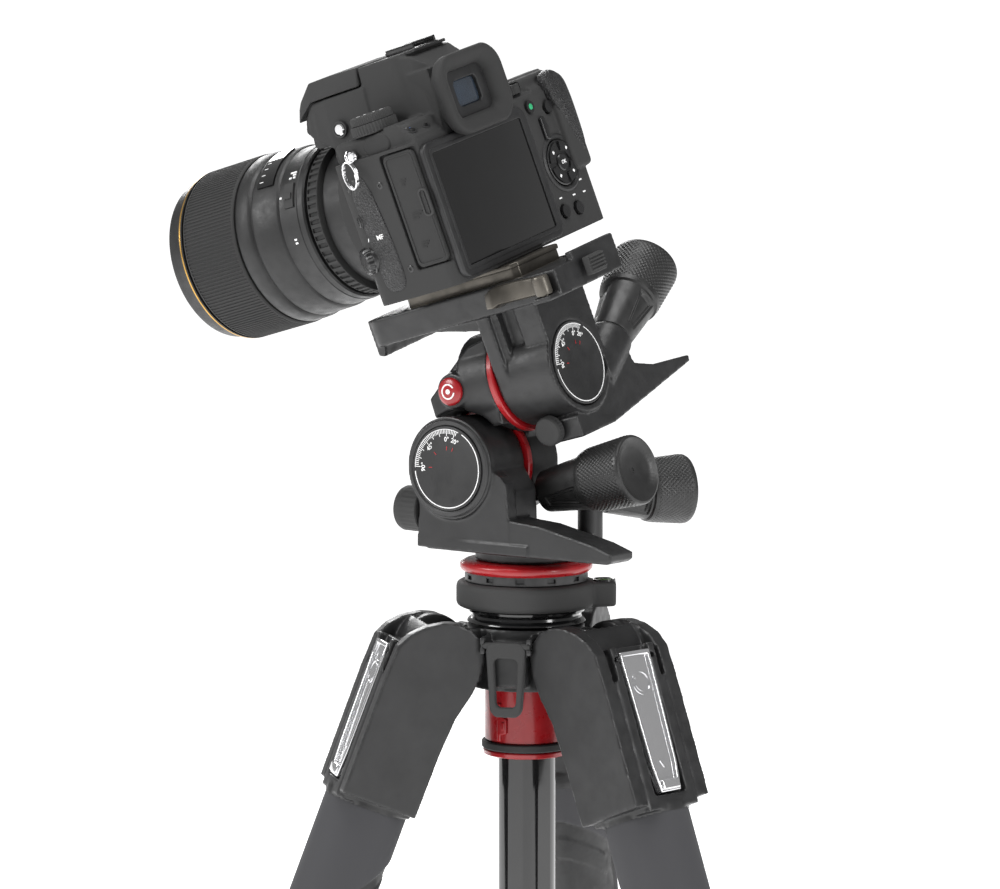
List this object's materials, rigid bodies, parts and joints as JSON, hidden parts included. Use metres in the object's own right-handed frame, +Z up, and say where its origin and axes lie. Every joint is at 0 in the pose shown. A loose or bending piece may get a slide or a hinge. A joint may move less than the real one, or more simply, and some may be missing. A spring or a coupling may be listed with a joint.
{
  "type": "camera on tripod",
  "caption": "Digital reflex camera with a long lens on a three-way pan and tilt head, carried by a folding tripod with telescopic legs and a sliding centre column.",
  "frame": {"origin": "on the floor under the centre column's axis", "axes": "+Z up along the centre column, -Y horizontally towards the subject (the lens side), +X to the camera's left as its operator sees it"},
  "size_m": [0.4673, 0.4448, 0.8234],
  "materials": {
    "casting": "satin",
    "red_trim": "satin",
    "bright_steel": "polished",
    "polished_alloy": "polished",
    "grey_alloy": "satin",
    "column_black": "gloss",
    "moulded_black": "matte",
    "soft_black": "matte",
    "grip_rubber": "matte",
    "handle": "matte",
    "dial_face": "satin",
    "camera_shell": "matte",
    "camera_metal": "satin",
    "screen": "gloss",
    "lens_shell": "matte",
    "lens_rubber": "matte"
  },
  "bodies": {
    "root": {"shoulder_casting": "casting", "column_sleeve": "red_trim", "shoulder_screws": "bright_steel", "pivot_bolts": "bright_steel"},
    "clamp_knob": {"clamp_knob": "moulded_black"},
    "accessory_loop": {"accessory_loop": "soft_black"},
    "column": {"column_tube": "column_black", "column_top_disc": "column_black", "pan_base": "casting", "pan_ring": "red_trim"},
    "level_ring": {"level_ring": "moulded_black"},
    "pan": {"pan_housing": "casting", "tilt_dial": "dial_face"},
    "pan_handle": {"pan_handle": "handle"},
    "tilt_friction_knob": {"tilt_friction_knob": "moulded_black"},
    "tilt": {"tilt_arm": "casting", "tilt_rings": "red_trim", "side_dial": "dial_face"},
    "tilt_handle": {"tilt_handle": "handle"},
    "side": {"platform": "casting"},
    "side_handle": {"side_handle": "handle"},
    "side_friction_knob": {"side_friction_knob": "moulded_black"},
    "plate_lever": {"plate_lever": "grey_alloy"},
    "plate_catch": {"plate_catch": "moulded_black"},
    "camera": {"release_plate": "grey_alloy", "camera_body": "camera_shell", "top_cover": "camera_shell", "rear_screen": "screen", "eyecup": "soft_black", "lens_barrel": "lens_shell"},
    "pop_up_flash": {"pop_up_flash": "camera_shell"},
    "mode_dial": {"mode_dial": "camera_shell"},
    "shutter_button": {"shutter_button": "camera_metal"},
    "rear_dial": {"rear_dial": "soft_black"},
    "rear_buttons": {"rear_buttons": "camera_metal"},
    "control_pad": {"control_pad": "camera_metal"},
    "port_door": {"port_door": "soft_black"},
    "aperture_ring": {"aperture_ring": "lens_shell"},
    "focus_ring": {"focus_ring": "lens_rubber"},
    "leg_1": {"leg_1_upper_section": "casting", "leg_1_grip": "grip_rubber"},
    "leg_1_selector": {"leg_1_selector": "polished_alloy"},
    "leg_1_upper_lever": {"leg_1_upper_lever": "moulded_black"},
    "leg_1_middle": {"leg_1_middle_section": "column_black"},
    "leg_1_lower_lever": {"leg_1_lower_lever": "moulded_black"},
    "leg_1_lower": {"leg_1_lower_section": "column_black"},
    "leg_2": {"leg_2_upper_section": "casting", "leg_2_grip": "grip_rubber"},
    "leg_2_selector": {"leg_2_selector": "polished_alloy"},
    "leg_2_upper_lever": {"leg_2_upper_lever": "moulded_black"},
    "leg_2_middle": {"leg_2_middle_section": "column_black"},
    "leg_2_lower_lever": {"leg_2_lower_lever": "moulded_black"},
    "leg_2_lower": {"leg_2_lower_section": "column_black"},
    "leg_3": {"leg_3_upper_section": "casting", "leg_3_grip": "grip_rubber"},
    "leg_3_selector": {"leg_3_selector": "polished_alloy"},
    "leg_3_upper_lever": {"leg_3_upper_lever": "moulded_black"},
    "leg_3_middle": {"leg_3_middle_section": "column_black"},
    "leg_3_lower_lever": {"leg_3_lower_lever": "moulded_black"},
    "leg_3_lower": {"leg_3_lower_section": "column_black"}
  },
  "joints": [
    {"name": "column_raise", "type": "slide", "parent": "root", "child": "column", "axis": [0, 0, 1], "range_m": [0, 0.3]},
    {"name": "clamp_knob_turn", "type": "hinge", "parent": "root", "child": "clamp_knob", "pos_m": [-0.00605, -0.03954, 0.53468], "axis": [-0.1513, -0.9885, 0], "range_deg": [0, 270]},
    {"name": "loop_swing", "type": "hinge", "parent": "root", "child": "accessory_loop", "pos_m": [0.03401, 0.01326, 0.54368], "axis": [0.3633, -0.9317, 0], "range_deg": [0, 60]},
    {"name": "level_ring_turn", "type": "hinge", "parent": "column", "child": "level_ring", "pos_m": [0, 0, 0.56468], "axis": [0, 0, 1], "continuous": true},
    {"name": "leg_1_spread", "type": "hinge", "parent": "root", "child": "leg_1", "pos_m": [0.00635, 0.04152, 0.53768], "axis": [0.9885, -0.1513, 0], "range_deg": [-21, 67]},
    {"name": "leg_1_selector_pull", "type": "hinge", "parent": "leg_1", "child": "leg_1_selector", "pos_m": [0.01042, 0.06808, 0.54049], "axis": [0.9885, -0.1513, 0], "range_deg": [0, 7], "stiffness_Nm_per_rad": 0.2},
    {"name": "leg_1_middle_extend", "type": "slide", "parent": "leg_1", "child": "leg_1_middle", "axis": [0.0542, 0.3542, -0.9336], "range_m": [0, 0.385]},
    {"name": "leg_1_lower_extend", "type": "slide", "parent": "leg_1_middle", "child": "leg_1_lower", "axis": [0.0542, 0.3542, -0.9336], "range_m": [0, 0.385]},
    {"name": "leg_1_upper_lock", "type": "hinge", "parent": "leg_1", "child": "leg_1_upper_lever", "pos_m": [0.0198, 0.2252, 0.11811], "axis": [-0.0542, -0.3542, 0.9336], "range_deg": [0, 100]},
    {"name": "leg_1_lower_lock", "type": "hinge", "parent": "leg_1_middle", "child": "leg_1_lower_lever", "pos_m": [0.02321, 0.2367, 0.08304], "axis": [-0.0542, -0.3542, 0.9336], "range_deg": [0, 100]},
    {"name": "leg_2_spread", "type": "hinge", "parent": "root", "child": "leg_2", "pos_m": [-0.03913, -0.01526, 0.53768], "axis": [-0.3633, 0.9317, 0], "range_deg": [-21, 67]},
    {"name": "leg_2_selector_pull", "type": "hinge", "parent": "leg_2", "child": "leg_2_selector", "pos_m": [-0.06417, -0.02502, 0.54049], "axis": [-0.3633, 0.9317, 0], "range_deg": [0, 7], "stiffness_Nm_per_rad": 0.2},
    {"name": "leg_2_middle_extend", "type": "slide", "parent": "leg_2", "child": "leg_2_middle", "axis": [-0.3339, -0.1302, -0.9336], "range_m": [0, 0.385]},
    {"name": "leg_2_lower_extend", "type": "slide", "parent": "leg_2_middle", "child": "leg_2_lower", "axis": [-0.3339, -0.1302, -0.9336], "range_m": [0, 0.385]},
    {"name": "leg_2_upper_lock", "type": "hinge", "parent": "leg_2", "child": "leg_2_upper_lever", "pos_m": [-0.20493, -0.09545, 0.11811], "axis": [0.3339, 0.1302, 0.9336], "range_deg": [0, 100]},
    {"name": "leg_2_lower_lock", "type": "hinge", "parent": "leg_2_middle", "child": "leg_2_lower_lever", "pos_m": [-0.2166, -0.09825, 0.08304], "axis": [0.3339, 0.1302, 0.9336], "range_deg": [0, 100]},
    {"name": "leg_3_spread", "type": "hinge", "parent": "root", "child": "leg_3", "pos_m": [0.03278, -0.02626, 0.53768], "axis": [-0.6252, -0.7804, 0], "range_deg": [-21, 67]},
    {"name": "leg_3_selector_pull", "type": "hinge", "parent": "leg_3", "child": "leg_3_selector", "pos_m": [0.05375, -0.04306, 0.54049], "axis": [-0.6252, -0.7804, 0], "range_deg": [0, 7], "stiffness_Nm_per_rad": 0.2},
    {"name": "leg_3_middle_extend", "type": "slide", "parent": "leg_3", "child": "leg_3_middle", "axis": [0.2797, -0.2241, -0.9336], "range_m": [0, 0.385]},
    {"name": "leg_3_lower_extend", "type": "slide", "parent": "leg_3_middle", "child": "leg_3_lower", "axis": [0.2797, -0.2241, -0.9336], "range_m": [0, 0.385]},
    {"name": "leg_3_upper_lock", "type": "hinge", "parent": "leg_3", "child": "leg_3_upper_lever", "pos_m": [0.18513, -0.12975, 0.11811], "axis": [-0.2797, 0.2241, 0.9336], "range_deg": [0, 100]},
    {"name": "leg_3_lower_lock", "type": "hinge", "parent": "leg_3_middle", "child": "leg_3_lower_lever", "pos_m": [0.19338, -0.13845, 0.08304], "axis": [-0.2797, 0.2241, 0.9336], "range_deg": [0, 100]},
    {"name": "pan_turn", "type": "hinge", "parent": "column", "child": "pan", "pos_m": [0, 0, 0.57968], "axis": [0, 0, 1], "continuous": true},
    {"name": "pan_handle_twist", "type": "hinge", "parent": "pan", "child": "pan_handle", "pos_m": [-0.04308, 0.02538, 0.60968], "axis": [-0.8616, 0.5075, 0], "range_deg": [0, 180]},
    {"name": "tilt_friction_turn", "type": "hinge", "parent": "pan", "child": "tilt_friction_knob", "pos_m": [0.02, -0.0425, 0.60238], "axis": [0, -1, 0], "range_deg": [0, 270]},
    {"name": "front_tilt", "type": "hinge", "parent": "pan", "child": "tilt", "pos_m": [0, -0.022, 0.62418], "axis": [1, 0, 0], "range_deg": [-15, 75]},
    {"name": "tilt_handle_twist", "type": "hinge", "parent": "tilt", "child": "tilt_handle", "pos_m": [-0.008, 0.00604, 0.6115], "axis": [0, 0.9659, 0.2588], "range_deg": [0, 180]},
    {"name": "side_tilt_turn", "type": "hinge", "parent": "tilt", "child": "side", "pos_m": [0, -0.00981, 0.66368], "axis": [0, 0.9659, 0.2588], "range_deg": [-12, 72]},
    {"name": "side_handle_twist", "type": "hinge", "parent": "side", "child": "side_handle", "pos_m": [-0.04252, 0.01823, 0.68267], "axis": [-0.7815, -0.1615, 0.6026], "range_deg": [0, 180]},
    {"name": "side_friction_turn", "type": "hinge", "parent": "side", "child": "side_friction_knob", "pos_m": [0.00937, 0.0216, 0.64304], "axis": [0.9781, 0.0538, -0.2008], "range_deg": [0, 270]},
    {"name": "plate_lever_swing", "type": "hinge", "parent": "side", "child": "plate_lever", "pos_m": [0.03944, 0.0374, 0.71157], "axis": [0.2079, -0.2532, 0.9448], "range_deg": [0, 60]},
    {"name": "plate_catch_press", "type": "slide", "parent": "side", "child": "plate_catch", "axis": [0, -0.9659, -0.2588], "range_m": [0, 0.002], "stiffness_N_per_m": 400},
    {"name": "camera_lift", "type": "slide", "parent": "side", "child": "camera", "axis": [0.2079, -0.2532, 0.9448], "range_m": [0, 0.04]},
    {"name": "flash_raise", "type": "hinge", "parent": "camera", "child": "pop_up_flash", "pos_m": [0.03553, -0.05831, 0.81379], "axis": [-0.9781, -0.0538, 0.2008], "range_deg": [0, 70]},
    {"name": "mode_dial_turn", "type": "hinge", "parent": "camera", "child": "mode_dial", "pos_m": [0.06681, -0.03812, 0.7848], "axis": [0.2079, -0.2532, 0.9448], "continuous": true},
    {"name": "shutter_press", "type": "slide", "parent": "camera", "child": "shutter_button", "axis": [-0.2079, 0.2532, -0.9448], "range_m": [0, 0.0009], "stiffness_N_per_m": 400},
    {"name": "rear_dial_turn", "type": "hinge", "parent": "camera", "child": "rear_dial", "pos_m": [-0.01262, -0.02492, 0.79735], "axis": [0.2079, -0.2532, 0.9448], "continuous": true},
    {"name": "rear_buttons_press", "type": "slide", "parent": "camera", "child": "rear_buttons", "axis": [0, -0.9659, -0.2588], "range_m": [0, 0.0008], "stiffness_N_per_m": 300},
    {"name": "control_pad_press", "type": "slide", "parent": "camera", "child": "control_pad", "axis": [0, -0.9659, -0.2588], "range_m": [0, 0.0006], "stiffness_N_per_m": 300},
    {"name": "port_door_open", "type": "hinge", "parent": "camera", "child": "port_door", "pos_m": [0.06805, -0.02018, 0.74488], "axis": [-0.2079, 0.2532, -0.9448], "range_deg": [0, 100]},
    {"name": "aperture_ring_turn", "type": "hinge", "parent": "camera", "child": "aperture_ring", "pos_m": [0.0216, -0.09158, 0.73703], "axis": [0, -0.9659, -0.2588], "range_deg": [0, 60]},
    {"name": "focus_ring_turn", "type": "hinge", "parent": "camera", "child": "focus_ring", "pos_m": [0.0216, -0.09158, 0.73703], "axis": [0, -0.9659, -0.2588], "range_deg": [0, 120]}
  ]
}
